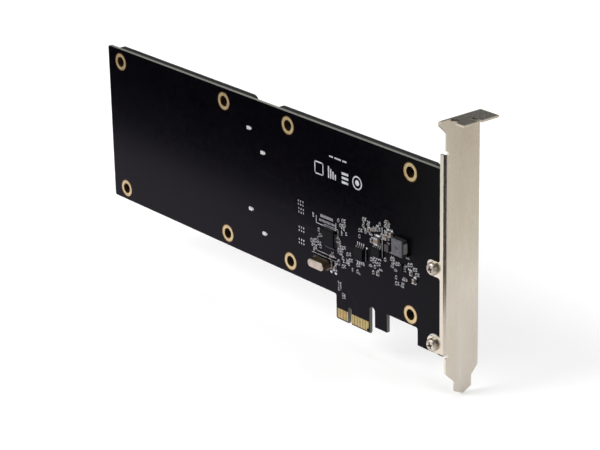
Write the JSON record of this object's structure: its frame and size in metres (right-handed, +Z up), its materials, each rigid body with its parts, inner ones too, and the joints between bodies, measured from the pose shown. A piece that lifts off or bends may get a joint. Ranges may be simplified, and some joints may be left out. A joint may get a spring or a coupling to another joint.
{
  "type": "ssd adapter card",
  "caption": "Expansion card with a folded slot bracket and an edge connector, carrying slim 2.5 inch solid state drives in back to back board sockets.",
  "frame": {"origin": "middle of the key notch at the lowest edge of the contacts, half way through the board", "axes": "+X along the contact edge to the slot bracket, +Z up the card, -Y out of the face that carries the chips"},
  "size_m": [0.2383, 0.0216, 0.1199],
  "materials": {
    "board_black": "glossy black solder mask",
    "gold_plating": "thin gold plating",
    "contact_gold": "hard gold plating",
    "tin_plating": "reflowed tin",
    "bracket_nickel": "satin nickel plated steel sheet",
    "fastener_steel": "nickel plated steel",
    "socket_plastic": "black glass filled plastic",
    "spring_contact": "gold flashed spring contacts",
    "peg_metal": "tinned holding pegs",
    "drive_case": "black painted metal",
    "drive_lid": "fine textured black paint",
    "case_screw_black": "black oxide",
    "drive_board_green": "green solder mask",
    "chip_black": "moulded epoxy",
    "chip_leads": "tinned leads",
    "crystal_metal": "drawn nickel silver can",
    "inductor_powder": "pressed iron powder",
    "diode_mould": "dark moulded body",
    "capacitor_tan": "sintered ceramic",
    "resistor_black": "glazed resistor film"
  },
  "bodies": {
    "root": {"circuit_board": "board_black", "drive_hole_rings": "gold_plating", "edge_contacts_near": "contact_gold", "edge_contacts_far": "contact_gold", "bracket_hole_pads": "tin_plating", "slot_bracket": "bracket_nickel", "bracket_screws": "fastener_steel", "bracket_nuts": "fastener_steel", "controller_chip": "chip_black", "controller_leads": "chip_leads", "memory_chip": "chip_black", "memory_leads": "chip_leads", "regulator_chip": "chip_black", "regulator_leads": "chip_leads", "switch_chip": "chip_black", "switch_leads": "chip_leads", "crystal_can": "crystal_metal", "crystal_base": "crystal_metal", "power_inductor": "inductor_powder", "inductor_terminals": "tin_plating", "power_diode": "diode_mould", "diode_terminals": "tin_plating", "capacitor_bodies": "capacitor_tan", "capacitor_ends": "tin_plating", "resistor_bodies": "resistor_black", "resistor_ends": "tin_plating", "left_socket_housing": "socket_plastic", "left_socket_contacts": "spring_contact", "left_socket_pegs": "peg_metal", "left_drive_base": "drive_case", "left_drive_cover": "drive_lid", "left_drive_case_screws": "case_screw_black", "left_drive_inner_board": "drive_board_green", "left_drive_flash_chips": "chip_black", "left_drive_controller": "chip_black", "left_drive_plug": "socket_plastic", "left_drive_plug_contacts": "spring_contact", "right_socket_housing": "socket_plastic", "right_socket_contacts": "spring_contact", "right_socket_pegs": "peg_metal", "right_drive_base": "drive_case", "right_drive_cover": "drive_lid", "right_drive_case_screws": "case_screw_black", "right_drive_inner_board": "drive_board_green", "right_drive_flash_chips": "chip_black", "right_drive_controller": "chip_black", "right_drive_plug": "socket_plastic", "right_drive_plug_contacts": "spring_contact"}
  },
  "joints": []
}
